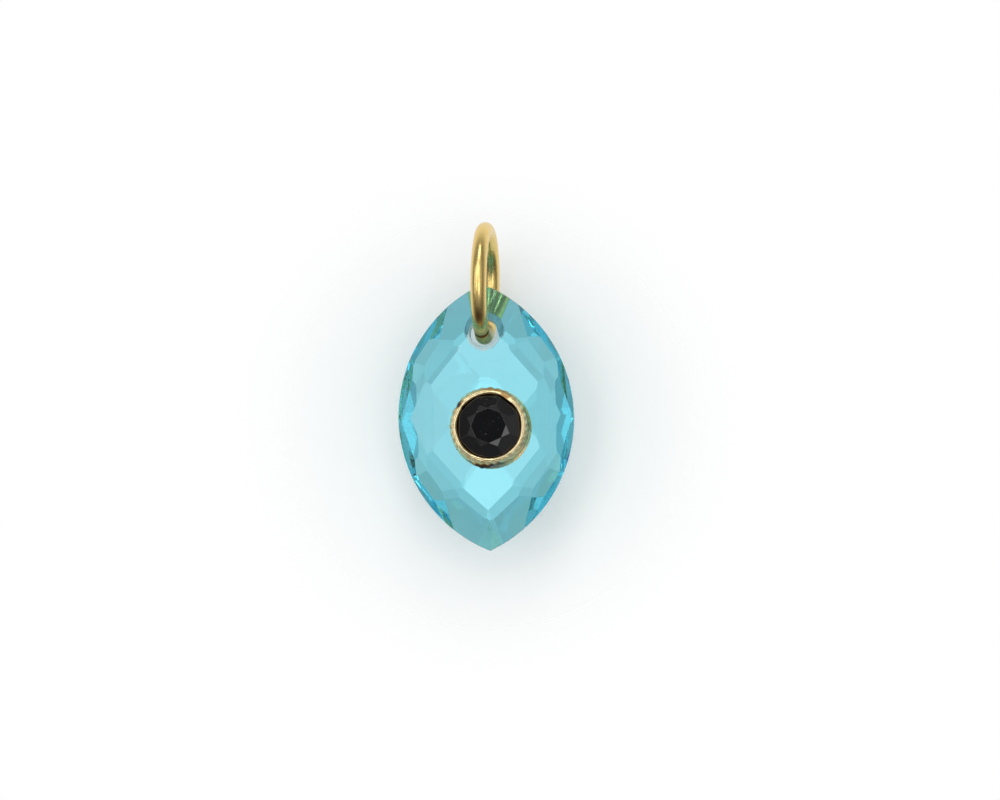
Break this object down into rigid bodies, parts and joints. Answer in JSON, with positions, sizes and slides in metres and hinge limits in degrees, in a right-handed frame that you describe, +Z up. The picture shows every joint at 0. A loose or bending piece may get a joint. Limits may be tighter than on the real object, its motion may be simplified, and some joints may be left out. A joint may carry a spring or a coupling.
{
  "type": "evil eye charm",
  "caption": "Faceted blue marquise stone on a gold jump ring, with a round black stone in a fluted gold cup as the pupil.",
  "frame": {"origin": "the chain seat: the highest point inside the jump ring, where a chain or hook bears", "axes": "the charm hangs as worn: +Z up, the faceted face with the pupil looks along -Y, +X to the viewer's right; the ring's plane stands 5 degrees out of square with the stone"},
  "size_m": [0.01, 0.0071, 0.0188],
  "materials": {
    "gold_wire": "polished gold plate",
    "gold_cup": "gold plate, rim burnished bright",
    "blue_stone": "clear aqua blue, polished facets, frosted hole",
    "black_stone": "black, polished facets",
    "glue": "clear set epoxy"
  },
  "bodies": {
    "ring": {"jump_ring": "gold_wire"},
    "charm": {"blue_stone": "blue_stone", "glue": "glue", "base_plate": "gold_cup", "peg": "gold_cup", "fluted_wall": "gold_cup", "bearing_ring": "gold_cup", "black_stone": "black_stone"}
  },
  "joints": [
    {"name": "stone_swing", "type": "hinge", "parent": "ring", "child": "charm", "pos_m": [0, 0, -0.00545], "axis": [0, 1, 0], "range_deg": [-100, 100]}
  ]
}
